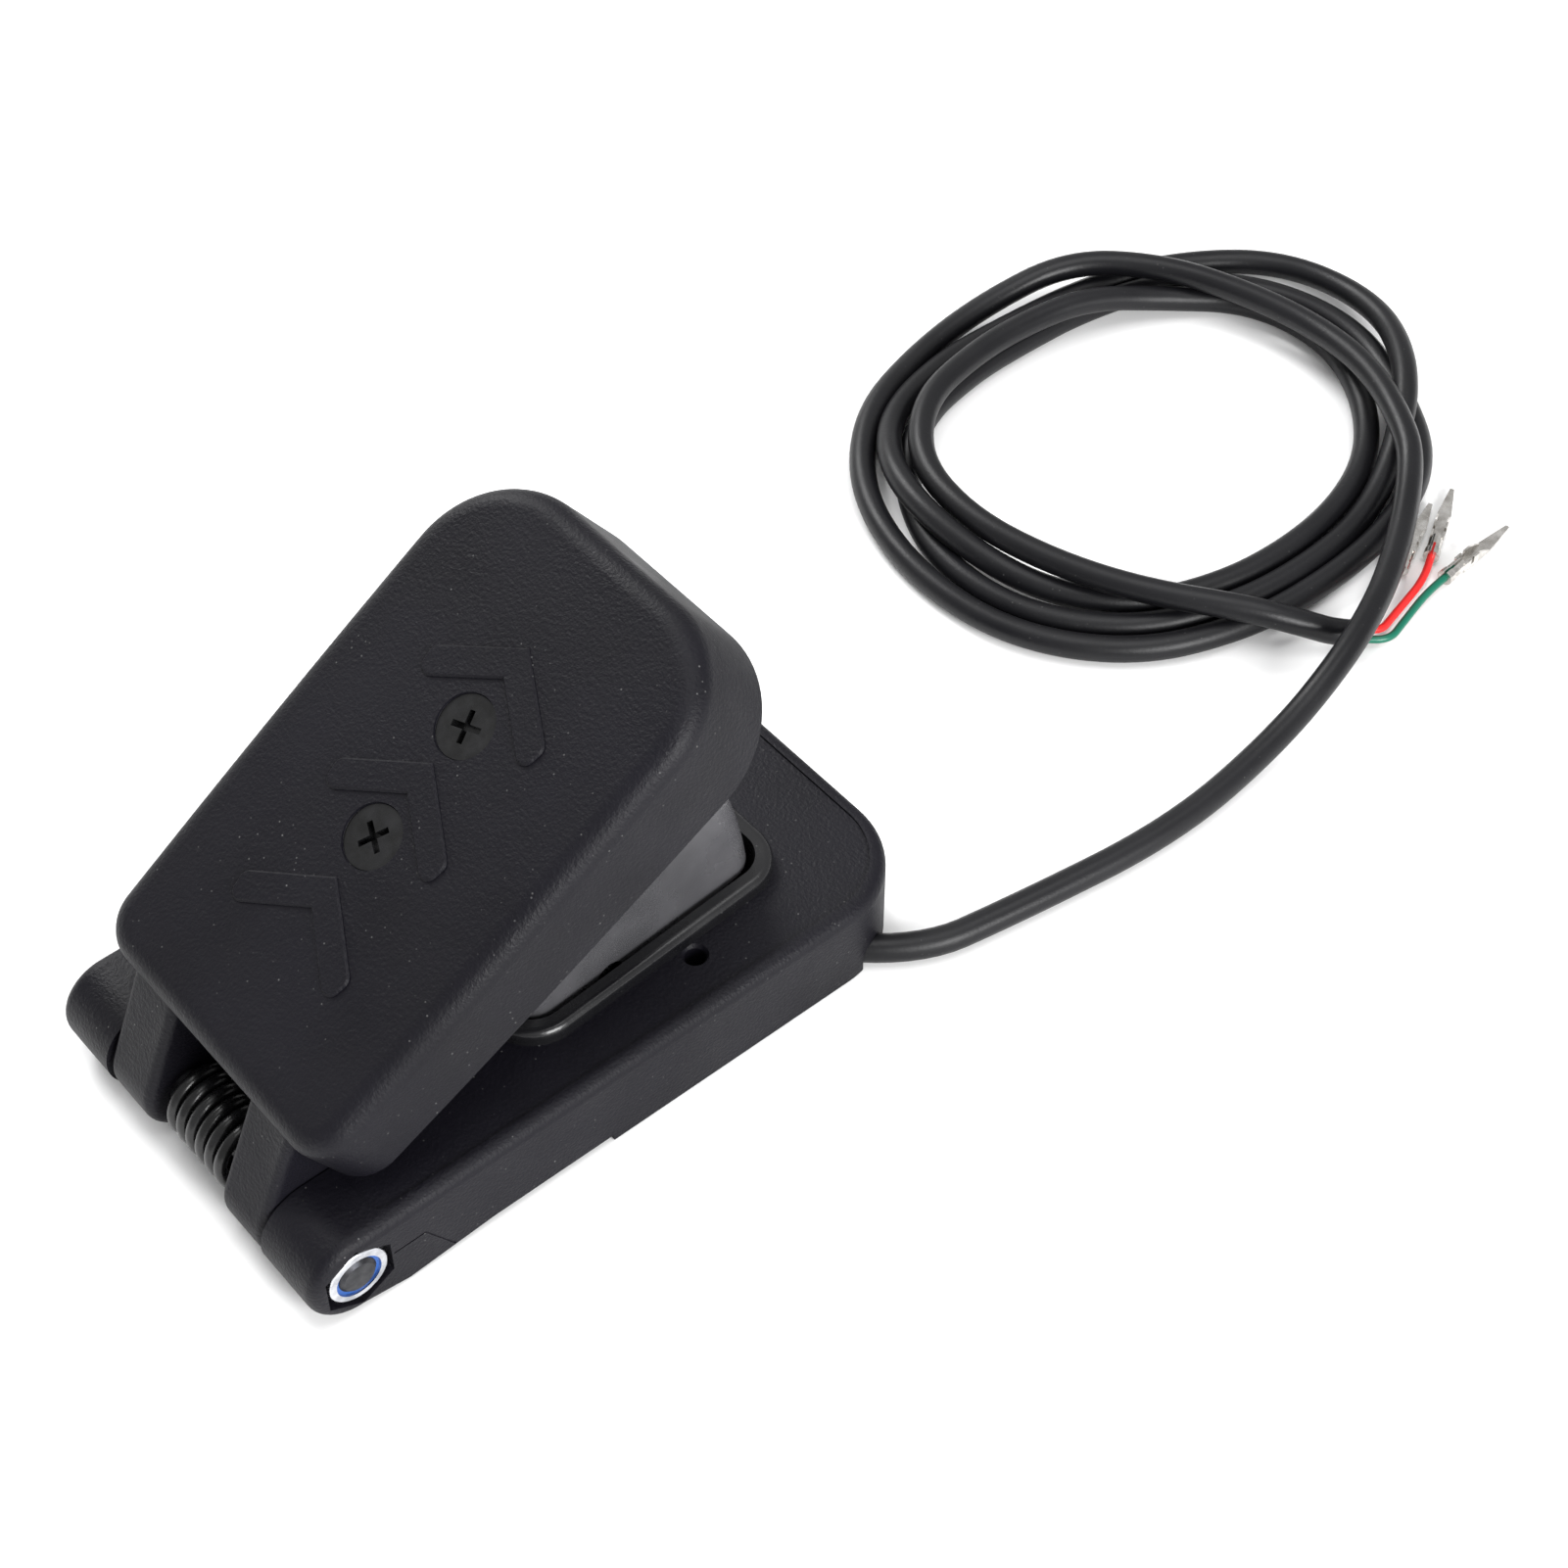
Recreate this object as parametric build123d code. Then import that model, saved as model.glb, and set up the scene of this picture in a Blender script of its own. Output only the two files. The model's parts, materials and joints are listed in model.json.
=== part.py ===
from build123d import *
import math
import os

# Foot speed-control pedal for a sewing machine: a flat base, a sprung tread pedal on a cross bolt,
# a sector arm that dips into the base past a Hall sensor, and a three-core lead.
# Millimetres. Origin at the centre of the base's underside, +Z up, +Y towards the toe end.

# Base
WIDTH = 63.0
LENGTH = 108.0
HEIGHT = 15.0
WALL = 2.4
DECK = 2.2
TOE_CORNER_R = 15.0
TOP_EDGE_R = 2.0
PANEL_INSET = 2.4
PANEL_DEPTH = 0.35
PANEL_Y0 = -41.5
PANEL_HEEL_R = 2.0
DECK_Z = HEIGHT - PANEL_DEPTH
WELD = 0.5
NOTCH_GAP = 0.2
HEEL_BLEND = 8.5
HALF_W = WIDTH / 2
TOE_Y = LENGTH / 2

# Faint mould line on the nut side, as (y, z) corners of a narrow band
MOULD_LINE = ((-41.0, 8.0), (-35.7, 8.0), (-31.4, 1.0), (-31.7, 1.0), (-35.85, 7.75), (-41.0, 7.75))
MOULD_LINE_DEPTH = 0.15

# Hinge line, parallel to X
KNUCKLE_R = HEIGHT / 2
HINGE_Y = -TOE_Y + KNUCKLE_R
HINGE_Z = KNUCKLE_R
KNUCKLE_IN = 19.25
EAR_OUT = 18.95
EAR_IN = 9.0
EAR_EYE_R = 7.2
EAR_EDGE_R = 1.4
YOKE_DEPTH = 11.0
EAR_WEB_BACK = 2.2
EAR_WEB_FRONT = 15.0

# Pedal, drawn flat in its own frame: origin on the hinge line, y towards the toe, z out of the tread
PEDAL_REST = 32.5
TREAD_Z = 18.2
PEDAL_Y0 = 8.4
PEDAL_Y1 = 95.2
PEDAL_HALF_HEEL = 26.2
PEDAL_HALF_TOE = 27.4
PEDAL_BOW = 0.5
PEDAL_TOE_R = 16.0
PEDAL_HEEL_R = 6.5
PEDAL_DRAFT = 1.0
PEDAL_EDGE_R = 3.6
RIM_Z_HEEL = 6.0
RIM_Z_TOE = 1.4
TREAD_T = 3.0
PEDAL_WALL = 2.4
TREAD_UNDER = TREAD_Z - TREAD_T

# Chevrons on the tread
CHEVRON_TIPS = (78.0, 58.3, 38.6)
CHEVRON_HALF = 12.4
CHEVRON_SWEEP = 8.3
CHEVRON_DEPTH = 5.3
CHEVRON_RISE = 0.45
CHEVRON_END_R = 1.6
CHEVRON_NARROWING = 0.8
CHEVRON_SPLAY = 0.5
CHEVRON_CHAMFER = 0.3

# Sector arm, between two arcs about the hinge line
ARM_R_HEEL = 39.0
ARM_R_TOE = 82.1
ARM_HALF_HEEL = 18.7
ARM_HALF_TOE = 15.6
ARM_Y_HEEL = 35.6
ARM_Y_TOE = 75.5
ARM_FLOOR_ANGLE = 6.3
ARM_WALL = 2.0
ARM_TOE_WALL = 3.6
ARM_CORNER_R = 5.0
ARM_HEEL_CORNER_R = 4.0

# Collar round the well in the deck
COLLAR_Y0 = -12.0
COLLAR_Y1 = 38.6
COLLAR_HALF_HEEL = 22.5
COLLAR_HALF_TOE = 19.2
COLLAR_RIM = 2.6
COLLAR_RISE = 2.65
COLLAR_R = 7.5
COLLAR_EDGE_R = 1.25
SKIRT_T = 1.2
SKIRT_BOTTOM = 8.5

# Cross bolt, nut and sleeve (M6)
BOLT_R = 2.95
BOLT_HOLE_R = 3.1
SLEEVE_R = 3.7
SLEEVE_BORE = 3.0
EAR_BORE = 3.75
M6_FLATS = 10.0
POCKET_FLATS = 10.3
HEAD_H = 4.0
NUT_H = 6.0
NUT_HEX_H = 4.4
NUT_RIM_R = 4.75
INSERT_R = 3.55
POCKET_DEPTH = 6.3
HEAD_POCKET_DEPTH = 4.8
HEAD_SINK = 0.5
SEAT_GAP = 0.05
RIM_EDGE_R = 0.45

# Return spring
SPRING_WIRE = 2.0
SPRING_MEAN_R = 4.92
SPRING_PITCH = 2.32
SPRING_TURNS = 6.6

# Pedal screws (M5 countersunk) and their nuts
SCREW_Y = (64.7, 45.7)
SCREW_R = 2.45
SCREW_HOLE_R = 2.6
SCREW_HEAD_R = 4.6
SCREW_HEAD_H = 2.5
SCREW_SINK = 0.35
SCREW_LEN = 20.0
SCREW_GAP = 0.15
SCREW_TWIST = (20, 62)
CROSS_HALF = 2.4
CROSS_HALF_W = 0.45
CROSS_DEPTH = 1.6
M5_FLATS = 8.0
M5_NUT_H = 4.0
BOSS_R = 5.2
BOSS_Z = 4.5

# Bottom cover and its screws
COVER_T = 1.6
COVER_Z = 0.2
COVER_Y0 = -4.3
RELIEF_Z = 1.2
RELIEF_Y0 = -42.5
RELIEF_Y1 = -25.0
RELIEF_Y2 = COVER_Y0
CAVITY_Y0 = -33.0
FLOOR_Z = 2.8
COVER_SCREWS = ((-25.6, -0.8), (25.6, -0.8), (-24.0, 44.0), (8.0, 48.3))
COVER_BOSS_R = 2.9
COVER_SCREW_R = 1.3
COVER_SCREW_TOP = 9.5
COVER_HEAD_R = 2.4
COVER_SINK_R = 2.6
COVER_HEAD_H = 0.9
COVER_GAP = 0.2

# Mounting holes through the base
MOUNT_X = 22.3
MOUNT_Y = 18.0
MOUNT_HOLE_R = 1.6
MOUNT_BOSS_R = 3.0
MOUNT_SINK_R = 2.0
MOUNT_SINK_H = 0.6

# Sensor board
BOARD_X = 22.6
BOARD_T = 1.6
BOARD_Y0 = 1.9
BOARD_Y1 = 14.3
BOARD_Z0 = 2.4
BOARD_Z1 = 12.4
BOARD_FIT = 0.02
RIB_HALF = 1.5
RIB_BACK = 1.6
RIB_FRONT = 1.2
RIB_Z0 = 6.5
SENSOR_Y = 7.1
SENSOR_SIZE = (1.5, 4.0, 3.2)
SENSOR_Z0 = 4.8
LEG_PITCH = 1.27
LEG_W = 0.4
LEG_X = 0.9
LEG_Z0 = 2.9
MAGNET_R = 2.5
MAGNET_T = 2.0
MAGNET_REACH = 53.5
MAGNET_ANGLE = -24.8
MAGNET_SEAT_R = 3.7
MAGNET_SEAT_T = 4.0
MAGNET_FIT = 0.03

# Clamp over the lead just inside the wall, drawn in its own frame with x along the lead
CLAMP_ALONG = 3.2
CLAMP_HALF = 2.0
CLAMP_Y = (-2.9, 8.0)
CLAMP_Z = (3.02, 6.4)
CLAMP_SCREW_Y = 5.2
CLAMP_SCREW_R = 1.25
CLAMP_HOLE_R = 1.3
CLAMP_HEAD_R = 2.3
CLAMP_HEAD_Z = (1.9, 3.0)
CLAMP_SCREW_TOP = 12.2
CLAMP_BOSS_R = 2.6
CLAMP_SCREW_FIT = 0.05

# Cores inside the base: sideways place in the lead, height there and height along the board
INNER_CORES = {"red": (-0.85, 1.7, 4.3), "green": (0.0, 3.1, 5.7), "black": (0.85, 1.7, 2.9)}
INNER_CORE_VIA = ((18.4, 28.6), (18.1, 17.5))
INNER_CORE_SPREAD = 0.4
INNER_CORE_END_Y = 10.8

# Lead
CORD_R = 2.2
CORE_R = 0.65
CORD_ROUTE = (
    (22.3, 37.1, 2.2),
    (33.2, 47.2, 2.2),
    (38.6, 66.5, 2.2),
    (42.6, 94.5, 2.2),
    (40.2, 119.5, 3.0),
    (37.2, 137.0, 7.4),
    (32.0, 152.5, 7.4),
    (24.6, 166.0, 7.6),
    (15.6, 177.0, 8.0),
)
TAIL_ROUTE = (
    (12.5, 128.5, 2.2),
    (22.5, 137.0, 2.2),
    (32.4, 146.6, 2.2),
)
COIL_CENTRE = (-23.2, 155.4)
COIL_HALF = (44.0, 55.0)
COIL_HOLE_HALF = (27.0, 38.0)
COIL_TURN = 15.0
COIL_HEIGHT = 12.0

# Stripped cores at the free end: colour, route and the terminal's direction in plan
CORE_ENDS = {
    "red": ((32.5, 146.7, 3.15), (34.3, 149.5, 2.6), (30.3, 164.2, 1.5), (26.0, 171.6, 1.5)),
    "green": ((33.0, 146.1, 1.65), (36.0, 149.8, 1.5), (32.7, 162.0, 1.5), (31.9, 170.0, 1.5)),
    "black": ((31.9, 147.3, 1.65), (32.4, 149.6, 1.5), (27.6, 160.2, 1.5), (25.0, 165.6, 1.5)),
}
TERMINAL_LEN = 18.0
TERMINAL_W = 2.3
SLEEVE_LEN = 4.6
CHANNEL_LEN = 6.4
SHEET_T = 0.35
CRIMP_R = 1.15
BELL_R = 1.35
BELL_LEN = 1.4
SEAM_HALF = 0.2
CORE_FIT = 0.02
CHANNEL_TOP = 0.9
CHANNEL_WAIST = (1.2, 2.0)
CHANNEL_SLOPE = 3.0
PIN_TIP_HALF = 0.35
TERMINAL_BASE = -1.0
TERMINAL_OVERLAP = 3.0


def save(shape, name):
    export_step(shape, f"parts/{name}.step")


def on_pedal(shape):
    """Moves a shape drawn in the pedal's flat frame to the pedal's rest pose."""
    return Pos(0, HINGE_Y, HINGE_Z) * Rot(PEDAL_REST, 0, 0) * shape


def block(x0, x1, y0, y1, z0, z1):
    middle = ((x0 + x1) / 2, (y0 + y1) / 2, (z0 + z1) / 2)
    return Pos(*middle) * Box(x1 - x0, y1 - y0, z1 - z0)


def rod_x(radius, x0, x1, y=HINGE_Y, z=HINGE_Z):
    return Pos((x0 + x1) / 2, y, z) * Rot(0, 90, 0) * Cylinder(radius, x1 - x0)


def rod_z(radius, z0, z1, x=0.0, y=0.0):
    return Pos(x, y, (z0 + z1) / 2) * Cylinder(radius, z1 - z0)


def hex_x(flats, x0, x1):
    """Hexagonal bar along the hinge line with two flats upright."""
    hexagon = RegularPolygon(flats / 2, 6, major_radius=False, rotation=30)
    return extrude(Plane(origin=(x0, HINGE_Y, HINGE_Z), x_dir=(0, 1, 0), z_dir=(1, 0, 0)) * hexagon, x1 - x0)


def trapezium(y0, y1, half0, half1, r0, r1, bow=0.0):
    """Plan outline symmetric about x = 0, with rounded corners and gently bowed sides."""
    middle = (y0 + y1) / 2
    half = (half0 + half1) / 2 + bow
    side = ThreePointArc if bow else None
    right = side((half0, y0), (half, middle), (half1, y1)) if side else Line((half0, y0), (half1, y1))
    left = side((-half1, y1), (-half, middle), (-half0, y0)) if side else Line((-half1, y1), (-half0, y0))
    outline = Line((-half0, y0), (half0, y0)) + right + Line((half1, y1), (-half1, y1)) + left
    face = make_face(outline)
    face = fillet(face.vertices().group_by(Axis.Y)[0], r0)
    return fillet(face.vertices().sort_by(Axis.Y)[-2:], r1)


def yz_prism(points, x0, x1):
    """Prism along X from a closed outline of (y, z) points."""
    plane = Plane(origin=(x0, 0, 0), x_dir=(0, 1, 0), z_dir=(1, 0, 0))
    return extrude(plane * make_face(Polyline(*points, close=True)), x1 - x0)


def toe_outline(y0, inset):
    """Base plan from y0 to the toe, drawn in from the outer wall."""
    half = HALF_W - inset
    y1 = TOE_Y - inset
    corners = ((-half, y0), (half, y0), (half, y1), (-half, y1))
    face = make_face(Polyline(*corners, close=True))
    return fillet(face.vertices().sort_by(Axis.Y)[-2:], TOE_CORNER_R - inset)


def heading_of(run):
    return math.degrees(math.atan2(run.Y, run.X))


def lead_start():
    """Start, length and direction of the lead's first run."""
    start = Vector(*CORD_ROUTE[0])
    run = Vector(*CORD_ROUTE[1]) - start
    return start, run.length, run.normalized()


def end_ring(solid):
    """Circular edge at the far end of a round bar along X."""
    return solid.edges().filter_by(GeomType.CIRCLE).sort_by(Axis.X)[-1]


def swept_tube(points, radius, name):
    """Round tube along straight runs joined by the largest tangent arcs that the runs allow."""
    path_points = [Vector(*p) for p in points]
    radii = []
    for before, corner, after in zip(path_points, path_points[1:], path_points[2:]):
        run_in = corner - before
        run_out = after - corner
        half_turn = math.radians(run_in.get_angle(run_out)) / 2
        radii.append(0.45 * min(run_in.length, run_out.length) / math.tan(half_turn))
    path = FilletPolyline(*path_points, radius=radii)
    section = Plane(origin=path @ 0, z_dir=path % 0) * Circle(radius)
    tube = sweep(section, path=path)
    expected = math.pi * radius**2 * path.length
    print(name, "radii", [round(r, 1) for r in radii], "volume ratio", round(tube.volume / expected, 4))
    return tube


# ---------------------------------------------------------------- base


def base_block():
    """Outer form of the base, with rounded upper edges, two knuckles and the yoke between them."""
    body = extrude(toe_outline(HINGE_Y, 0), HEIGHT)
    top_edges = body.faces().sort_by(Axis.Z)[-1].edges()
    body = fillet([e for e in top_edges if e.center().Y > HINGE_Y + 1], TOP_EDGE_R)
    knuckle = rod_x(KNUCKLE_R, KNUCKLE_IN, HALF_W)
    knuckle = fillet(end_ring(knuckle), TOP_EDGE_R)
    body += knuckle
    body += mirror(knuckle, Plane.YZ)
    blend = heel_blend()
    body -= blend
    body -= mirror(blend, Plane.YZ)
    return body - block(-KNUCKLE_IN, KNUCKLE_IN, -TOE_Y - 1, HINGE_Y + YOKE_DEPTH, -1, HEIGHT + 1)


def heel_blend():
    """Cut that fades the rounded end of a knuckle out into the square bottom edge of the side."""
    inner = HALF_W - TOP_EDGE_R
    reach = TOP_EDGE_R * math.sqrt(0.5)
    arc = ThreePointArc((HALF_W, TOP_EDGE_R), (inner + reach, TOP_EDGE_R - reach), (inner, 0))
    corner = Line((inner, 0), (HALF_W, 0)) + Line((HALF_W, 0), (HALF_W, TOP_EDGE_R))
    plane = Plane(origin=(0, HINGE_Y, 0), x_dir=(1, 0, 0), z_dir=(0, -1, 0))
    return loft([plane * make_face(arc + corner), Vertex(HALF_W, HINGE_Y + HEEL_BLEND, 0)])


def base_cavity():
    """Open-bottomed cavity at the toe and a floored one towards the hinge."""
    inner = HALF_W - WALL
    under_deck = HEIGHT - DECK
    toe = Pos(0, 0, -1) * extrude(toe_outline(COVER_Y0, WALL), under_deck + 1)
    return toe + block(-inner, inner, CAVITY_Y0, COVER_Y0 + 1, FLOOR_Z, under_deck)


def base_bosses():
    """Bosses for the cover screws, mounting holes, clamp screw and sensor board."""
    roof = HEIGHT - DECK + WELD
    foot = COVER_Z + COVER_T
    bosses = clamp_frame() * rod_z(CLAMP_BOSS_R, CLAMP_Z[1], roof, 0, CLAMP_SCREW_Y)
    for x, y in COVER_SCREWS:
        bosses += rod_z(COVER_BOSS_R, foot, roof, x, y)
    for x in (-MOUNT_X, MOUNT_X):
        bosses += rod_z(MOUNT_BOSS_R, foot, roof, x, MOUNT_Y)
    for y in (BOARD_Y0 + RIB_HALF, BOARD_Y1 - RIB_HALF):
        rib_x1 = BOARD_X + BOARD_T + RIB_BACK
        bosses += block(BOARD_X - RIB_FRONT, rib_x1, y - RIB_HALF, y + RIB_HALF, RIB_Z0, roof)
    return bosses


def base_screw_holes():
    holes = make_clamp_screw(CLAMP_SCREW_FIT)
    for x, y in COVER_SCREWS:
        holes += rod_z(COVER_SCREW_R, 0, HEIGHT - DECK - 1, x, y)
    for x in (-MOUNT_X, MOUNT_X):
        holes += rod_z(MOUNT_HOLE_R, -1, HEIGHT + 1, x, MOUNT_Y)
        sink = Cone(MOUNT_HOLE_R, MOUNT_SINK_R, MOUNT_SINK_H)
        holes += Pos(x, MOUNT_Y, DECK_Z - MOUNT_SINK_H / 2) * sink
    return holes


def board_slot():
    x0 = BOARD_X - BOARD_FIT
    x1 = BOARD_X + BOARD_T + BOARD_FIT
    return block(x0, x1, BOARD_Y0 - 0.1, BOARD_Y1 + 0.1, 0, BOARD_Z1 + BOARD_FIT)


def deck_panel():
    """Shallow sunk panel over the whole deck, just inside its rounded edge."""
    plan = toe_outline(PANEL_Y0, PANEL_INSET)
    plan = fillet(plan.vertices().group_by(Axis.Y)[0], PANEL_HEEL_R)
    return Pos(0, 0, DECK_Z) * extrude(plan, 1)


def hinge_bores():
    """Bolt hole through both knuckles, with a hexagonal pocket for the nut and one for the head."""
    bores = rod_x(BOLT_HOLE_R, -HALF_W - 1, HALF_W + 1)
    bores += hex_x(POCKET_FLATS, HALF_W - POCKET_DEPTH, HALF_W + 1)
    return bores + hex_x(POCKET_FLATS, -HALF_W - 1, -HALF_W + HEAD_POCKET_DEPTH)


def sole_relief():
    """Relief under the heel half, so that the base stands on its knuckles and its toe."""
    outline = ((RELIEF_Y2, -1), (RELIEF_Y2, RELIEF_Z), (RELIEF_Y1, RELIEF_Z), (RELIEF_Y0, 0), (RELIEF_Y0, -1))
    return yz_prism(outline, -HALF_W - 1, HALF_W + 1)


def make_base_shell():
    body = base_block() - base_cavity()
    body += base_bosses()
    body -= base_screw_holes()
    body -= board_slot()
    body -= deck_panel()
    body -= yz_prism(MOULD_LINE, HALF_W - MOULD_LINE_DEPTH, HALF_W + 1)
    body -= Pos(0, 0, HEIGHT - DECK - 1) * extrude(deck_opening(), DECK + 2)
    body -= hinge_bores()
    body -= sole_relief()
    return body - cord_notch(CORD_R + NOTCH_GAP)


def cord_notch(radius):
    """Arch-topped slot at the foot of the wall, along the lead's first run."""
    start, length, run = lead_start()
    arch = Plane(origin=start, x_dir=(run.Y, -run.X, 0), z_dir=run) * Circle(radius)
    slot = block(0, length, -radius, radius, -1, CORD_R)
    return extrude(arch, length) + Pos(start.X, start.Y, 0) * Rot(0, 0, heading_of(run)) * slot


def well_outline(grow):
    """Outline of the well in plan, grown outwards from the collar's inner face."""
    taper = (COLLAR_HALF_HEEL - COLLAR_HALF_TOE) / (COLLAR_Y1 - COLLAR_Y0)
    inset = COLLAR_RIM - grow
    y0 = COLLAR_Y0 + inset
    y1 = COLLAR_Y1 - inset
    half0 = COLLAR_HALF_HEEL - inset - taper * inset
    half1 = COLLAR_HALF_TOE - inset + taper * inset
    radius = COLLAR_R - inset
    return trapezium(y0, y1, half0, half1, radius, radius)


def deck_opening():
    return well_outline(SKIRT_T + 0.1)


def make_well_collar():
    flange = Pos(0, 0, DECK_Z) * extrude(well_outline(COLLAR_RIM), COLLAR_RISE)
    flange = fillet(flange.faces().sort_by(Axis.Z)[-1].edges(), COLLAR_EDGE_R)
    skirt = Pos(0, 0, SKIRT_BOTTOM) * extrude(well_outline(SKIRT_T), DECK_Z - SKIRT_BOTTOM)
    return flange + skirt - Pos(0, 0, SKIRT_BOTTOM - 1) * extrude(well_outline(0), HEIGHT)


def make_bottom_cover():
    plan = toe_outline(COVER_Y0 + COVER_GAP, WALL + COVER_GAP)
    plan = fillet(plan.vertices().sort_by(Axis.Y)[:2], 1.0)
    cover = Pos(0, 0, COVER_Z) * extrude(plan, COVER_T)
    for x, y in COVER_SCREWS:
        cover -= rod_z(COVER_SCREW_R + SCREW_GAP, -1, COVER_T + 1, x, y)
        cover -= rod_z(COVER_SINK_R, -1, COVER_Z + COVER_HEAD_H, x, y)
    for x in (-MOUNT_X, MOUNT_X):
        cover -= rod_z(MOUNT_HOLE_R, -1, COVER_T + 1, x, MOUNT_Y)
    start, _, run = lead_start()
    width = CORD_R + 0.5
    slot = block(-5.5, 20, -width, width, -1, COVER_T + 1)
    return cover - Pos(start.X, start.Y, 0) * Rot(0, 0, heading_of(run)) * slot


def make_cover_screws():
    screws = []
    slot_top = COVER_Z + 0.5
    for x, y in COVER_SCREWS:
        screw = rod_z(COVER_HEAD_R, COVER_Z + 0.1, COVER_Z + COVER_HEAD_H, x, y)
        screw += rod_z(COVER_SCREW_R - SEAT_GAP, slot_top, COVER_SCREW_TOP, x, y)
        for half_x, half_y in ((1.3, 0.3), (0.3, 1.3)):
            screw -= block(x - half_x, x + half_x, y - half_y, y + half_y, 0, slot_top)
        screws.append(screw)
    return Compound(screws)


# ---------------------------------------------------------------- hinge


def make_hinge_bolt():
    head_x = -HALF_W + HEAD_SINK
    shank = rod_x(BOLT_R, head_x + 1, HALF_W - 0.1)
    shank = chamfer(end_ring(shank), HEAD_SINK)
    return hex_x(M6_FLATS, head_x, head_x + HEAD_H) + shank


def make_hinge_nut():
    x0 = HALF_W - POCKET_DEPTH + SEAT_GAP
    rim = rod_x(NUT_RIM_R, x0 + 1, x0 + NUT_H)
    rim = fillet(end_ring(rim), RIM_EDGE_R)
    nut = hex_x(M6_FLATS, x0, x0 + NUT_HEX_H) + rim
    nut -= rod_x(BOLT_R, x0 - 1, x0 + NUT_H + 1)
    return nut - rod_x(INSERT_R, x0 + NUT_HEX_H, x0 + NUT_H + 1)


def make_nut_insert():
    x0 = HALF_W - POCKET_DEPTH + SEAT_GAP
    ring = rod_x(INSERT_R, x0 + NUT_HEX_H, x0 + NUT_H - 0.5)
    return ring - rod_x(BOLT_R, x0, x0 + NUT_H + 1)


def make_pivot_sleeve():
    length = KNUCKLE_IN - 0.02
    return rod_x(SLEEVE_R, -length, length) - rod_x(SLEEVE_BORE, -length - 1, length + 1)


def make_return_spring():
    height = SPRING_PITCH * SPRING_TURNS
    helix = Helix(pitch=SPRING_PITCH, height=height, radius=SPRING_MEAN_R)
    section = Plane(origin=helix @ 0, z_dir=helix % 0) * Circle(SPRING_WIRE / 2)
    wire = sweep(section, path=helix, is_frenet=True)
    x0 = -SPRING_PITCH * SPRING_TURNS / 2
    return Pos(x0, HINGE_Y, HINGE_Z) * Rot(0, 90, 0) * wire


# ---------------------------------------------------------------- pedal, drawn flat


def pedal_plan(grow):
    y0 = PEDAL_Y0 + 1.0 - grow
    y1 = PEDAL_Y1 + grow
    half0 = PEDAL_HALF_HEEL + grow
    half1 = PEDAL_HALF_TOE + grow
    return trapezium(y0, y1, half0, half1, PEDAL_HEEL_R + grow, PEDAL_TOE_R + grow, PEDAL_BOW)


def pedal_outer():
    """Solid form of the pedal, drafted outwards from the tread down."""
    top = pedal_plan(0)
    low = pedal_plan(PEDAL_DRAFT * TREAD_Z / (TREAD_Z - RIM_Z_TOE))
    shell = loft([low, Pos(0, 0, TREAD_Z) * top], ruled=True)
    return fillet(shell.faces().sort_by(Axis.Z)[-1].edges(), PEDAL_EDGE_R)


def below_rim():
    """Everything under the pedal's lower edge, which rises towards the heel."""
    far = PEDAL_Y1 + 10
    slope = (RIM_Z_TOE - RIM_Z_HEEL) / (PEDAL_Y1 - PEDAL_Y0)
    rim_near = RIM_Z_HEEL - slope * PEDAL_Y0
    rim_far = RIM_Z_HEEL + slope * (far - PEDAL_Y0)
    return yz_prism(((0, rim_near), (far, rim_far), (far, -10), (0, -10)), -40, 40)


def ear_outline():
    """Side outline of an ear: a round eye on the hinge line and a web that widens up to the tread."""
    top_z = TREAD_UNDER + WELD
    back = (PEDAL_Y0 + EAR_WEB_BACK, top_z)
    front = (PEDAL_Y0 + EAR_WEB_FRONT, top_z)
    eye = Circle(EAR_EYE_R)
    web = [back]
    for (y, z), side in ((back, 1), (front, -1)):
        reach = math.hypot(y, z)
        angle = math.atan2(z, y) + side * math.acos(EAR_EYE_R / reach)
        web.append((EAR_EYE_R * math.cos(angle), EAR_EYE_R * math.sin(angle)))
    web.append(front)
    return eye, web


def make_ear():
    eye, web = ear_outline()
    plane = Plane(origin=(EAR_IN, 0, 0), x_dir=(0, 1, 0), z_dir=(1, 0, 0))
    width = EAR_OUT - EAR_IN
    ear = extrude(plane * eye, width)
    ear += extrude(plane * make_face(Polyline(*web, close=True)), width)
    sides = ear.faces().filter_by(Axis.X)
    return fillet([e for face in sides for e in face.edges() if e.center().Z < TREAD_UNDER], EAR_EDGE_R)


def make_chevron(tip):
    end_x = CHEVRON_HALF - CHEVRON_NARROWING
    end_y = tip - CHEVRON_SWEEP
    foot_y = end_y - CHEVRON_DEPTH + CHEVRON_SPLAY
    right = ((0, tip), (CHEVRON_HALF, end_y), (end_x, foot_y), (0, tip - CHEVRON_DEPTH))
    left = ((-end_x, foot_y), (-CHEVRON_HALF, end_y))
    face = make_face(Polyline(*right, *left, close=True))
    ends = [v for v in face.vertices() if abs(v.X) > CHEVRON_HALF / 2]
    face = fillet(ends, CHEVRON_END_R)
    raised = Pos(0, 0, TREAD_Z - WELD) * extrude(face, WELD + CHEVRON_RISE)
    return chamfer(raised.faces().sort_by(Axis.Z)[-1].edges(), CHEVRON_CHAMFER)


def screw_pocket(y, grow):
    """Countersunk hole down through the tread."""
    top = TREAD_Z - SCREW_SINK
    hole = rod_z(SCREW_R + grow, TREAD_Z - SCREW_LEN - 2, top, 0, y)
    sink = Pos(0, y, top - SCREW_HEAD_H / 2) * Cone(SCREW_R + grow, SCREW_HEAD_R + grow, SCREW_HEAD_H)
    mouth = rod_z(SCREW_HEAD_R + grow, top, TREAD_Z + 1, 0, y)
    return hole + sink + mouth


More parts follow.
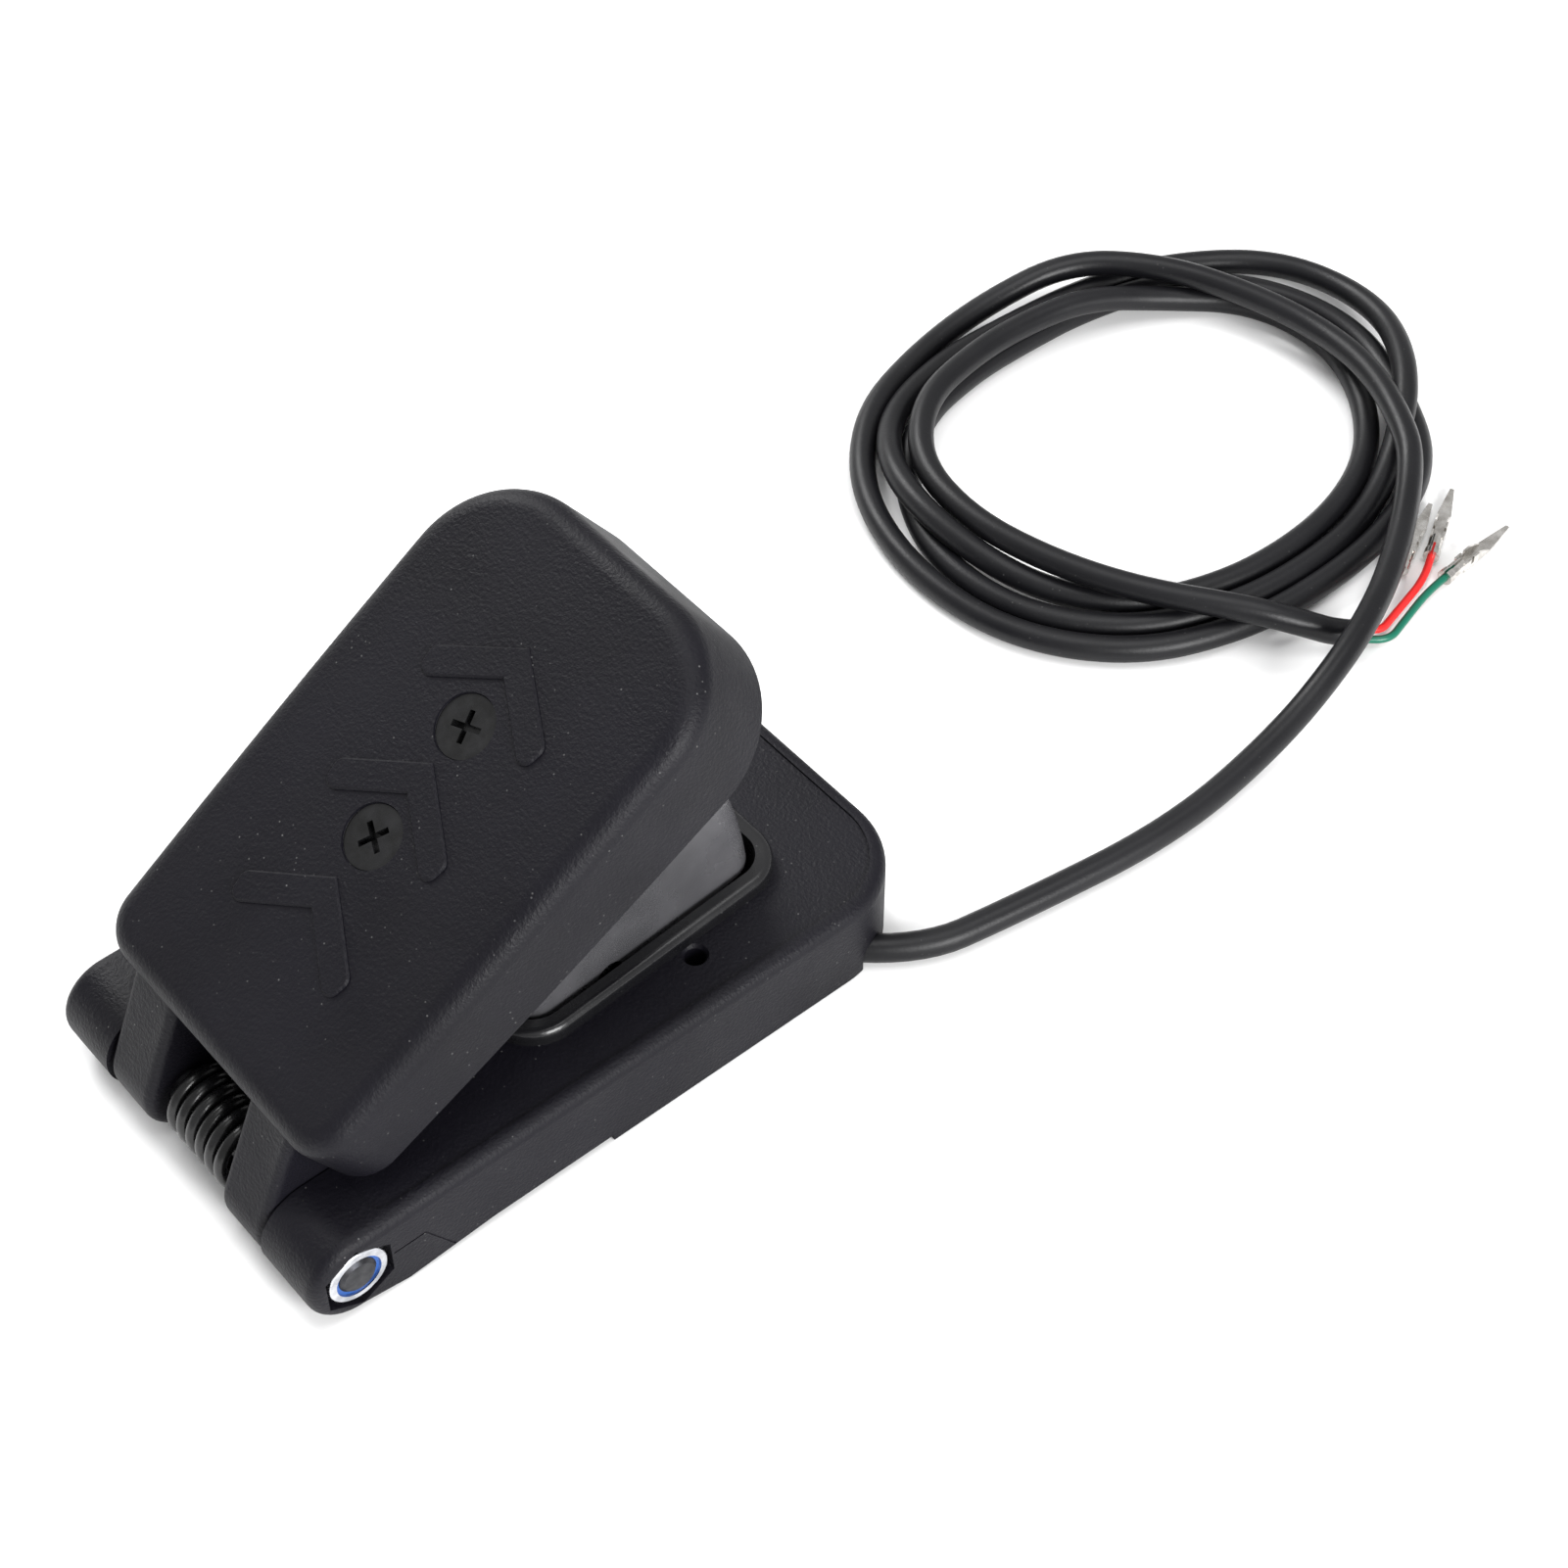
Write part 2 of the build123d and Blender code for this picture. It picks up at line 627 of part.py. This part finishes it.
def make_pedal_shell():
    shell = pedal_outer() - below_rim()
    shell -= Pos(0, 0, -5) * extrude(pedal_plan(-PEDAL_WALL), TREAD_UNDER + 5)
    ear = make_ear()
    shell += ear
    shell += mirror(ear, Plane.YZ)
    shell -= Rot(0, 90, 0) * Cylinder(EAR_BORE, WIDTH)
    for tip in CHEVRON_TIPS:
        shell += make_chevron(tip)
    for y in SCREW_Y:
        shell -= screw_pocket(y, SCREW_GAP)
    return shell


def annulus(r0, r1, width):
    outer = Rot(0, 90, 0) * Cylinder(r1, width)
    return outer - Rot(0, 90, 0) * Cylinder(r0, width + 2)


def arm_block(r0, r1, inset, top_z, floor_angle):
    """Tapered block under the tread, between two arcs and above a sloping floor."""
    slope = (ARM_HALF_TOE - ARM_HALF_HEEL) / (ARM_Y_TOE - ARM_Y_HEEL)
    near = 10.0
    far = 95.0
    half_near = ARM_HALF_HEEL + slope * (near - ARM_Y_HEEL) - inset
    half_far = ARM_HALF_HEEL + slope * (far - ARM_Y_HEEL) - inset
    corners = ((-half_near, near), (half_near, near), (half_far, far), (-half_far, far))
    plan = make_face(Polyline(*corners, close=True))
    bar = Pos(0, 0, -60) * extrude(plan, top_z + 60)
    drop = math.radians(PEDAL_REST - floor_angle)
    reach = 110.0
    wedge = yz_prism(((0, 0), (reach, -reach * math.tan(drop)), (reach, 60), (0, 60)), -40, 40)
    return bar & annulus(r0, r1, 80) & wedge


def make_sector_arm():
    arm = arm_block(ARM_R_HEEL, ARM_R_TOE, 0, TREAD_UNDER, ARM_FLOOR_ANGLE)
    for radius, corner_r in ((ARM_R_TOE, ARM_CORNER_R), (ARM_R_HEEL, ARM_HEEL_CORNER_R)):
        arm = fillet([e for e in arm.edges() if is_arc_corner(e, radius)], corner_r)
    heel = ARM_R_HEEL + ARM_WALL
    toe = ARM_R_TOE - ARM_TOE_WALL
    arm -= arm_block(heel, toe, ARM_WALL, TREAD_UNDER - ARM_WALL, ARM_FLOOR_ANGLE - 20)
    for y in SCREW_Y:
        arm += rod_z(BOSS_R, BOSS_Z, TREAD_UNDER - WELD, 0, y)
    for y in SCREW_Y:
        arm -= rod_z(SCREW_HOLE_R, -30, TREAD_Z, 0, y)
    side = arm_side(MAGNET_REACH)
    arm += magnet_place() * rod_x(MAGNET_SEAT_R, side - MAGNET_SEAT_T, side, 0, 0)
    return arm - magnet_place() * rod_x(MAGNET_R, side - MAGNET_T, ARM_HALF_HEEL + 2, 0, 0)


def is_arc_corner(edge, radius):
    """True for an edge that runs along the arc of that radius on a side of the arm."""
    points = [edge @ t for t in (0, 0.5, 1)]
    on_arc = all(abs(math.hypot(p.Y, p.Z) - radius) < 0.01 for p in points)
    return on_arc and min(abs(p.X) for p in points) > 5


def magnet_place():
    return Rot(MAGNET_ANGLE, 0, 0) * Pos(0, MAGNET_REACH, 0)


def arm_side(reach):
    """Half-width of the arm where the magnet sits, less its draft across the magnet."""
    slope = (ARM_HALF_TOE - ARM_HALF_HEEL) / (ARM_Y_TOE - ARM_Y_HEEL)
    y = reach * math.cos(math.radians(MAGNET_ANGLE))
    return ARM_HALF_HEEL + slope * (y + MAGNET_R - ARM_Y_HEEL) - 0.1


def make_magnet():
    x1 = arm_side(MAGNET_REACH)
    return magnet_place() * rod_x(MAGNET_R - MAGNET_FIT, x1 - MAGNET_T, x1, 0, 0)


def make_pedal_screws():
    screws = []
    for y, twist in zip(SCREW_Y, SCREW_TWIST):
        top = TREAD_Z - SCREW_SINK
        head = Pos(0, y, top - SCREW_HEAD_H / 2) * Cone(SCREW_R, SCREW_HEAD_R, SCREW_HEAD_H)
        shank = rod_z(SCREW_R, top - SCREW_LEN, top - 1, 0, y)
        cross = block(-CROSS_HALF, CROSS_HALF, -CROSS_HALF_W, CROSS_HALF_W, -CROSS_DEPTH, 1)
        cross += Rot(0, 0, 90) * cross
        screws.append(head + shank - Pos(0, y, top) * Rot(0, 0, twist) * cross)
    return Compound(screws)


def make_pedal_nuts():
    nuts = []
    for y in SCREW_Y:
        body = extrude(RegularPolygon(M5_FLATS / 2, 6, major_radius=False), M5_NUT_H)
        nuts.append(Pos(0, y, BOSS_Z - M5_NUT_H - 0.02) * (body - Cylinder(SCREW_R + 0.02, 20)))
    return Compound(nuts)


# ---------------------------------------------------------------- sensor and lead entry


def make_sensor_board():
    return block(BOARD_X, BOARD_X + BOARD_T, BOARD_Y0, BOARD_Y1, BOARD_Z0, BOARD_Z1)


def make_hall_sensor():
    """Three-legged sensor lying flat on the face of the board towards the arm."""
    depth, width, height = SENSOR_SIZE
    y0 = SENSOR_Y - width / 2
    sensor = block(BOARD_X - depth, BOARD_X, y0, y0 + width, SENSOR_Z0, SENSOR_Z0 + height)
    leg_x = BOARD_X - LEG_X
    for offset in (-LEG_PITCH, 0, LEG_PITCH):
        y0 = SENSOR_Y + offset - LEG_W / 2
        sensor += block(leg_x, leg_x + LEG_W, y0, y0 + LEG_W, LEG_Z0, SENSOR_Z0 + 0.2)
        sensor += block(leg_x, BOARD_X, y0, y0 + LEG_W, LEG_Z0, LEG_Z0 + LEG_W)
    return sensor


def clamp_frame():
    """Plane under the lead just inside the wall, x along the lead."""
    start, _, run = lead_start()
    middle = start + run * CLAMP_ALONG
    return Plane(origin=(middle.X, middle.Y, 0), x_dir=run, z_dir=(0, 0, 1))


def make_clamp_screw(clearance=0.0):
    head_z0, head_z1 = CLAMP_HEAD_Z
    shank = rod_z(CLAMP_SCREW_R + clearance, head_z0, CLAMP_SCREW_TOP, 0, CLAMP_SCREW_Y)
    head = rod_z(CLAMP_HEAD_R + clearance, head_z0 - clearance, head_z1, 0, CLAMP_SCREW_Y)
    return clamp_frame() * (shank + head)


def make_cable_clamp():
    bar = block(-CLAMP_HALF, CLAMP_HALF, *CLAMP_Y, *CLAMP_Z)
    bar -= Pos(0, 0, CORD_R) * Rot(0, 90, 0) * Cylinder(CORD_R, 20)
    bar -= rod_z(CLAMP_HOLE_R, 0, 10, 0, CLAMP_SCREW_Y)
    return clamp_frame() * bar


def make_inner_cores():
    """Three insulated cores, from the end of the jacket round the mounting boss to the board."""
    start, _, run = lead_start()
    side = Vector(-run.Y, run.X, 0)
    (via_x, via_y), turn = INNER_CORE_VIA
    cores = {}
    for name, (across, lift, stack_z) in INNER_CORES.items():
        leave = start + side * across
        points = (
            (leave.X, leave.Y, lift),
            (via_x - INNER_CORE_SPREAD * across, via_y, stack_z),
            (*turn, stack_z),
            (BOARD_X - 0.1, INNER_CORE_END_Y, stack_z),
        )
        cores[name] = swept_tube(points, CORE_R, f"inner {name} core")
    return cores


# ---------------------------------------------------------------- lead


def make_cable_coil():
    outer = Ellipse(*COIL_HALF)
    hole = Ellipse(*COIL_HOLE_HALF)
    return Pos(*COIL_CENTRE, 0) * Rot(0, 0, COIL_TURN) * extrude(outer - hole, COIL_HEIGHT)


def crimp_sleeve():
    """Split sleeve closed round the core, belled at its mouth."""
    sleeve = rod_x(CRIMP_R, 0, SLEEVE_LEN, 0, 0) + rod_x(BELL_R, 0, BELL_LEN, 0, 0)
    sleeve -= block(-1, SLEEVE_LEN + 1, -SEAM_HALF, SEAM_HALF, 0, 2)
    return sleeve - rod_x(CORE_R + CORE_FIT, -1, SLEEVE_LEN + 1, 0, 0)


def crimp_channel(x0, x1):
    """Channel with an open top, nicked behind the sleeve and sloping down to the pin."""
    half = TERMINAL_W / 2
    inner = half - SHEET_T
    waist0, waist1 = CHANNEL_WAIST
    channel = block(x0 - 0.4, x1, -half, half, TERMINAL_BASE, CHANNEL_TOP)
    channel -= block(x0 - 1, x1 + 1, -inner, inner, TERMINAL_BASE + SHEET_T, 2)
    channel -= block(x0 + waist0, x0 + waist1, -half - 1, half + 1, -0.2, 2)
    slope = ((x1 - CHANNEL_SLOPE, CHANNEL_TOP + 0.05), (x1 + 0.5, CHANNEL_TOP + 0.05), (x1 + 0.5, -0.7))
    plane = Plane(origin=(0, TERMINAL_W, 0), x_dir=(1, 0, 0), z_dir=(0, -1, 0))
    return channel - extrude(plane * make_face(Polyline(*slope, close=True)), 2 * TERMINAL_W)


def crimp_pin(x0):
    """Flat pin that tapers to its tip."""
    half = TERMINAL_W / 2
    shoulder = x0 + 0.6
    near = ((x0 - 0.5, -half), (shoulder, -half), (TERMINAL_LEN, -PIN_TIP_HALF))
    far = ((TERMINAL_LEN, PIN_TIP_HALF), (shoulder, half), (x0 - 0.5, half))
    outline = make_face(Polyline(*near, *far, close=True))
    return Pos(0, 0, TERMINAL_BASE) * extrude(outline, SHEET_T)


def make_terminal(route):
    """Open-barrel crimp terminal in line with the end of its core."""
    end = Vector(*route[-1])
    run = end - Vector(*route[-2])
    channel_end = SLEEVE_LEN + CHANNEL_LEN
    terminal = crimp_sleeve() + crimp_channel(SLEEVE_LEN, channel_end) + crimp_pin(channel_end)
    place = Pos(end.X, end.Y, end.Z) * Rot(0, 0, heading_of(run))
    return place * Pos(-TERMINAL_OVERLAP, 0, 0) * terminal


def main():
    os.makedirs("parts", exist_ok=True)
    save(make_base_shell(), "base_shell")
    save(make_well_collar(), "well_collar")
    save(make_bottom_cover(), "bottom_cover")
    save(make_cover_screws(), "cover_screws")
    save(make_hinge_bolt(), "hinge_bolt")
    save(make_hinge_nut(), "hinge_nut")
    save(make_nut_insert(), "nut_insert")
    save(make_pivot_sleeve(), "pivot_sleeve")
    save(make_return_spring(), "return_spring")
    save(make_sensor_board(), "sensor_board")
    save(make_hall_sensor(), "hall_sensor")
    save(make_cable_clamp(), "cable_clamp")
    save(make_clamp_screw(), "clamp_screw")
    for name, core in make_inner_cores().items():
        save(core, f"inner_core_{name}")
    save(on_pedal(make_pedal_shell()), "pedal_shell")
    save(on_pedal(make_sector_arm()), "sector_arm")
    save(on_pedal(make_magnet()), "magnet")
    save(on_pedal(make_pedal_screws()), "pedal_screws")
    save(on_pedal(make_pedal_nuts()), "pedal_nuts")
    save(swept_tube(CORD_ROUTE, CORD_R, "lead"), "cable_lead")
    save(make_cable_coil(), "cable_coil")
    save(swept_tube(TAIL_ROUTE, CORD_R, "tail"), "cable_tail")
    for name, route in CORE_ENDS.items():
        save(swept_tube(route, CORE_R, f"{name} core"), f"core_{name}")
        save(make_terminal(route), f"terminal_{name}")


main()
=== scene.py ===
import json
import math

import bpy
from mathutils import Matrix, Vector


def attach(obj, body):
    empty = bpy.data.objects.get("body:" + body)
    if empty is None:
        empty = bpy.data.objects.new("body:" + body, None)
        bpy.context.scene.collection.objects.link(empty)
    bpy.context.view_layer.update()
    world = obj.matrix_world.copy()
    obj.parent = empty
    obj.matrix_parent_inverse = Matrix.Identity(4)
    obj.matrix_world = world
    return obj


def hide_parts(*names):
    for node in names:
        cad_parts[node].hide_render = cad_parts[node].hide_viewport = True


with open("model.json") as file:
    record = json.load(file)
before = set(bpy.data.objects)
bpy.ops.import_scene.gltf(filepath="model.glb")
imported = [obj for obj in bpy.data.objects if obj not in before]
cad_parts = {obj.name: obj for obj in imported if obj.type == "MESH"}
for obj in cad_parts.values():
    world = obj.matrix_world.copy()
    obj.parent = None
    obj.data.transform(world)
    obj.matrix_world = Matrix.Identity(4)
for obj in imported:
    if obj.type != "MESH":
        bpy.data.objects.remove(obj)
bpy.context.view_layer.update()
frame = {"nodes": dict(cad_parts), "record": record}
nodes = frame["nodes"]
scene = bpy.context.scene

MM = 0.001

# Camera
CAM_AZIMUTH = math.radians(49.80)
CAM_ELEVATION = math.radians(48.75)
CAM_ROLL = math.radians(0.135)
CAM_TARGET = Vector((-0.0039, 0.05647, 0.0))
CAM_DISTANCE = 0.4698
CAM_LENS = 69.95
CAM_SENSOR = 36
CAM_CLIP = (0.01, 20)

# Studio: floor half-width and height, and each light's name, place, size and power
FLOOR_HALF = 3.0
FLOOR_Z = -0.0002
WORLD_STRENGTH = 0.6
LIGHTS_AT = Vector((0, 0.05, 0))
LIGHTS = (
    ("key", (-0.95, 0.1, 0.8), 0.5, 12.0),
    ("side", (0.95, 0.0, 0.42), 0.5, 14.5),
    ("top", (0.1, 0.2, 1.3), 0.9, 8.0),
)

# Materials: noise scales in cells per metre, bump heights in metres
MOTTLE = 38
PATCHES = 90
GLOSS_CLOUDS = 55
FINE_GRAIN = 1900
FINE_GRAIN_HEIGHT = 0.00014
COARSE_GRAIN = 140
COARSE_GRAIN_SHARE = 0.35
COARSE_GRAIN_HEIGHT = 0.0003
SPECKS = 620
SPECK_SHADES = 300
COAT_ROUGHNESS = 0.14
TARNISH = 420
METAL_GLOSS = 600
SCRATCHES = 1800
SCRATCH_HEIGHT = 0.00008
SMOOTH_ANGLE = 30

# Plastics: dark and light colour, roughness range, grain, specks, specular level, coat
PLASTICS = {
    "body_plastic": ((0.0024, 0.0021, 0.0042), (0.0040, 0.0036, 0.0066), (0.46, 0.58), 0.9, 0.12, 0.19),
    "gloss_black": ((0.004, 0.004, 0.005), (0.008, 0.008, 0.009), (0.20, 0.32), 0.12, 0.10, 0.45),
    # arm: black plastic given a lighter grey base colour, a painted sheen standing in for the reflection on
    # its glossy side
    "arm_gloss_painted_sheen": ((0.040, 0.040, 0.043), (0.085, 0.084, 0.090), (0.16, 0.34), 0.2, 0.2, 0.8, 0.5),
    "blue_nylon": ((0.01, 0.06, 0.24), (0.02, 0.09, 0.34), (0.35, 0.5), 0.2),
    "board_green": ((0.01, 0.10, 0.04), (0.02, 0.16, 0.06), (0.25, 0.4), 0.15),
    "cord_black": ((0.0036, 0.0036, 0.0046), (0.0060, 0.0060, 0.0074), (0.34, 0.46), 0.2, 0.05, 0.27),
    "core_red": ((0.62, 0.012, 0.012), (0.78, 0.02, 0.018), (0.28, 0.4), 0.1),
    "core_green": ((0.0, 0.10, 0.06), (0.003, 0.15, 0.09), (0.28, 0.4), 0.1),
}
# Metals: dark and light colour, roughness range, scratches, metallic share
METALS = {
    "black_steel": ((0.004, 0.004, 0.004), (0.010, 0.010, 0.011), (0.2, 0.34), 0.12, 0.2),
    "dark_steel": ((0.030, 0.031, 0.035), (0.075, 0.075, 0.08), (0.34, 0.5), 0.25),
    "zinc_steel": ((0.42, 0.43, 0.46), (0.74, 0.75, 0.78), (0.16, 0.3), 0.12),
    "tinned": ((0.46, 0.44, 0.41), (0.78, 0.76, 0.73), (0.18, 0.32), 0.25),
}

# Cord
CORD_D = 0.0044
CORD_LEAD = (
    (22.3, 37.1, 2.2),
    (34.8, 46.8, 2.2),
    (38.6, 66.5, 2.2),
    (42.6, 94.5, 2.2),
    (40.2, 119.5, 3.0),
    (37.2, 137.0, 7.4),
    (31.2, 152.2, 7.4),
    (23.4, 165.4, 7.6),
    (14.8, 176.8, 8.2),
)
CORD_TAIL = (
    (26.8, 139.6, 4.6),
    (29.8, 143.4, 2.5),
    (32.4, 146.6, 2.2),
)
COIL_CENTRE = (-22.0, 153.0)
COIL_START_DEG = 42.5
COIL_STEP_DEG = 22.5
# One row for each turn: (radius, height) of the strand at each step round the coil, in millimetres
COIL_TURNS = (
    ((42.2, 9.3), (39.8, 8.8), (38.5, 7.4), (38.0, 7.2), (40.2, 7.4), (43.6, 6.8), (43.4, 3.4), (44.6, 2.2),
     (48.8, 2.2), (51.2, 2.2), (52.2, 2.2), (53.2, 2.2), (51.0, 2.2), (46.0, 2.2), (43.0, 2.2), (43.8, 2.2)),
    ((46.8, 2.2), (46.2, 2.2), (48.4, 2.2), (46.8, 2.2), (41.8, 2.2), (35.3, 2.2), (32.6, 2.2), (34.4, 2.2),
     (39.4, 2.2), (43.8, 2.2), (47.2, 2.2), (48.2, 2.2), (45.6, 2.2), (41.0, 2.2), (38.6, 2.2), (39.2, 2.2)),
    ((41.2, 3.9), (46.8, 7.7), (54.0, 4.6), (55.2, 2.4), (47.2, 2.2), (39.9, 2.2), (37.2, 2.2), (39.9, 2.2),
     (44.6, 2.6), (46.2, 6.2), (44.9, 6.4), (42.2, 2.8), (40.0, 2.2), (35.9, 2.2), (33.8, 2.2), (34.3, 2.2)),
    ((36.8, 2.2), (39.4, 2.2), (42.6, 2.2), (42.2, 2.2), (36.4, 3.2), (33.0, 6.7), (32.2, 6.7), (34.0, 6.7),
     (38.8, 6.8), (41.2, 6.9), (40.2, 7.2), (39.4, 7.2), (41.4, 7.2), (46.6, 7.0)),
)


def put_camera():
    """Camera at its azimuth, elevation and roll, looking at its target."""
    level = math.cos(CAM_ELEVATION)
    back = Vector((
        math.sin(CAM_AZIMUTH) * level,
        -math.cos(CAM_AZIMUTH) * level,
        math.sin(CAM_ELEVATION),
    ))
    right = Vector((math.cos(CAM_AZIMUTH), math.sin(CAM_AZIMUTH), 0))
    up = back.cross(right)
    right, up = (
        math.cos(CAM_ROLL) * right + math.sin(CAM_ROLL) * up,
        math.cos(CAM_ROLL) * up - math.sin(CAM_ROLL) * right,
    )
    camera = bpy.data.objects.new("camera", bpy.data.cameras.new("camera"))
    scene.collection.objects.link(camera)
    camera.data.lens = CAM_LENS
    camera.data.sensor_width = CAM_SENSOR
    camera.data.clip_start, camera.data.clip_end = CAM_CLIP
    turn = Matrix((right, up, back)).transposed().to_4x4()
    camera.matrix_world = Matrix.Translation(CAM_TARGET + back * CAM_DISTANCE) @ turn
    scene.camera = camera


def coil_points():
    """Points of every turn of the coil, one step apart."""
    points = []
    angle = math.radians(COIL_START_DEG)
    for turn in COIL_TURNS:
        for radius, height in turn:
            x = COIL_CENTRE[0] + radius * math.cos(angle)
            y = COIL_CENTRE[1] + radius * math.sin(angle)
            points.append((x, y, height))
            angle += math.radians(COIL_STEP_DEG)
    return points


def nurbs_tube(name, points_mm, diameter):
    """Smooth round tube whose control points are given in millimetres."""
    curve = bpy.data.curves.new(name, "CURVE")
    curve.dimensions = "3D"
    spline = curve.splines.new("NURBS")
    spline.points.add(len(points_mm) - 1)
    for point, (x, y, z) in zip(spline.points, points_mm):
        point.co = (x * MM, y * MM, z * MM, 1)
    spline.order_u = 3
    spline.use_endpoint_u = True
    spline.resolution_u = 10
    curve.bevel_depth = diameter / 2
    curve.bevel_resolution = 6
    curve.use_fill_caps = True
    tube = bpy.data.objects.new(name, curve)
    scene.collection.objects.link(tube)
    return tube


# ---------------------------------------------------------------- materials


class Shader:
    """A small wrapper round one material's node tree."""

    def __init__(self, name):
        self.material = bpy.data.materials.new(name)
        self.material.use_nodes = True
        self.tree = self.material.node_tree
        self.bsdf = self.tree.nodes["Principled BSDF"]
        self.coords = self.tree.nodes.new("ShaderNodeTexCoord").outputs["Object"]

    def link(self, a, b):
        self.tree.links.new(a, b)

    def noise(self, scale, detail=3.0, rough=0.55):
        node = self.tree.nodes.new("ShaderNodeTexNoise")
        node.inputs["Scale"].default_value = scale
        node.inputs["Detail"].default_value = detail
        node.inputs["Roughness"].default_value = rough
        self.link(self.coords, node.inputs["Vector"])
        return node.outputs["Fac"]

    def ramp(self, value, low, high, low_at=0.35, high_at=0.65):
        """Maps a value to a colour between low and high."""
        node = self.tree.nodes.new("ShaderNodeValToRGB")
        stops = node.color_ramp.elements
        stops[0].position, stops[1].position = low_at, high_at
        stops[0].color = self.rgba(low)
        stops[1].color = self.rgba(high)
        self.link(value, node.inputs["Fac"])
        return node.outputs["Color"]

    @staticmethod
    def rgba(value):
        if isinstance(value, (int, float)):
            return (value, value, value, 1)
        return (*value, 1)

    def dust(self):
        """1 on scattered specks of dust, which gather in patches, and 0 elsewhere."""
        cells = self.tree.nodes.new("ShaderNodeTexVoronoi")
        cells.inputs["Scale"].default_value = SPECKS
        self.link(self.coords, cells.inputs["Vector"])
        dots = self.ramp(cells.outputs["Distance"], 1.0, 0.0, 0.05, 0.10)
        product = self.tree.nodes.new("ShaderNodeMath")
        product.operation = "MULTIPLY"
        self.link(dots, product.inputs[0])
        self.link(self.ramp(self.noise(PATCHES, 3), 0.0, 1.0, 0.44, 0.60), product.inputs[1])
        return product.outputs[0]

    def bump(self, height, strength, distance, normal=None):
        node = self.tree.nodes.new("ShaderNodeBump")
        node.inputs["Strength"].default_value = strength
        node.inputs["Distance"].default_value = distance
        self.link(height, node.inputs["Height"])
        if normal is not None:
            self.link(normal, node.inputs["Normal"])
        return node.outputs["Normal"]

    def mix(self, factor, a, b):
        node = self.tree.nodes.new("ShaderNodeMix")
        node.data_type = "RGBA"
        self.link(factor, node.inputs["Factor"])
        self.link(a, node.inputs["A"])
        self.link(b, node.inputs["B"])
        return node.outputs["Result"]


def moulded(name, dark, light, rough, grain, specks=0.0, specular=0.4, coat=0.0):
    """Moulded plastic: mottled colour, fine grain, uneven gloss and a little dust."""
    s = Shader(name)
    colour = s.ramp(s.noise(MOTTLE, 4), dark, light)
    if specks:
        colour = s.mix(s.dust(), colour, s.ramp(s.noise(SPECK_SHADES), specks * 0.5, specks))
    s.link(colour, s.bsdf.inputs["Base Color"])
    s.link(s.ramp(s.noise(GLOSS_CLOUDS, 5), *rough), s.bsdf.inputs["Roughness"])
    s.bsdf.inputs["Specular IOR Level"].default_value = specular
    s.bsdf.inputs["Coat Weight"].default_value = coat
    s.bsdf.inputs["Coat Roughness"].default_value = COAT_ROUGHNESS
    fine = s.bump(s.noise(FINE_GRAIN, 2, 0.6), grain, FINE_GRAIN_HEIGHT)
    coarse = s.bump(s.noise(COARSE_GRAIN, 3), grain * COARSE_GRAIN_SHARE, COARSE_GRAIN_HEIGHT, fine)
    s.link(coarse, s.bsdf.inputs["Normal"])
    return s.material


def metal(name, dark, light, rough, scratch=0.1, metallic=1.0):
    """Metal with tarnish and fine scratches."""
    s = Shader(name)
    s.link(s.ramp(s.noise(TARNISH, 4), dark, light), s.bsdf.inputs["Base Color"])
    s.link(s.ramp(s.noise(METAL_GLOSS, 5), *rough), s.bsdf.inputs["Roughness"])
    s.bsdf.inputs["Metallic"].default_value = metallic
    s.link(s.bump(s.noise(SCRATCHES, 3), scratch, SCRATCH_HEIGHT), s.bsdf.inputs["Normal"])
    return s.material


def make_materials():
    materials = {name: moulded(name, *values) for name, values in PLASTICS.items()}
    materials.update({name: metal(name, *values) for name, values in METALS.items()})
    return materials


def paint(obj, material):
    obj.data.materials.clear()
    obj.data.materials.append(material)


def smooth(obj):
    """Shades smoothly across all but the sharp edges."""
    obj.data.shade_smooth()
    obj.data.set_sharp_from_angle(angle=math.radians(SMOOTH_ANGLE))


def put_world():
    world = bpy.data.worlds.new("world")
    scene.world = world
    world.use_nodes = True
    background = world.node_tree.nodes["Background"]
    background.inputs["Color"].default_value = (1, 1, 1, 1)
    background.inputs["Strength"].default_value = WORLD_STRENGTH


def put_floor():
    corners = [(x * FLOOR_HALF, y * FLOOR_HALF, FLOOR_Z) for x, y in ((-1, -1), (1, -1), (1, 1), (-1, 1))]
    mesh = bpy.data.meshes.new("floor")
    mesh.from_pydata(corners, [], [(0, 1, 2, 3)])
    floor = bpy.data.objects.new("floor", mesh)
    scene.collection.objects.link(floor)
    s = Shader("floor")
    s.link(s.ramp(s.noise(3), 0.90, 0.93), s.bsdf.inputs["Base Color"])
    s.bsdf.inputs["Roughness"].default_value = 0.9
    s.bsdf.inputs["Specular IOR Level"].default_value = 0.1
    paint(floor, s.material)


def put_lights():
    for name, place, size, power in LIGHTS:
        light = bpy.data.lights.new(name, "AREA")
        light.size = size
        light.energy = power
        obj = bpy.data.objects.new(name, light)
        scene.collection.objects.link(obj)
        obj.location = place
        obj.rotation_euler = (LIGHTS_AT - Vector(place)).to_track_quat("-Z", "Y").to_euler()


def studio():
    """Plain white world, pale floor and three soft lights."""
    put_world()
    put_floor()
    put_lights()
    scene.view_settings.view_transform = "Standard"
    scene.view_settings.look = "None"


put_camera()
materials = make_materials()
cord = nurbs_tube("cord", list(CORD_LEAD) + coil_points() + list(CORD_TAIL), CORD_D)
paint(cord, materials["cord_black"])
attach(cord, "base")
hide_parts("cable_lead", "cable_coil", "cable_tail")

# Each CAD node has its slot's material, and the arm under the tread has a glossier one of its own, whose
# lighter grey base colour is a painted sheen standing in for the reflection on its side
slots = {part["node"]: part["material_slot"] for part in frame["record"]["subparts"]}
finishes = {**slots, "sector_arm": "arm_gloss_painted_sheen"}
for node_name, node in nodes.items():
    paint(node, materials[finishes[node_name]])
    smooth(node)

studio()
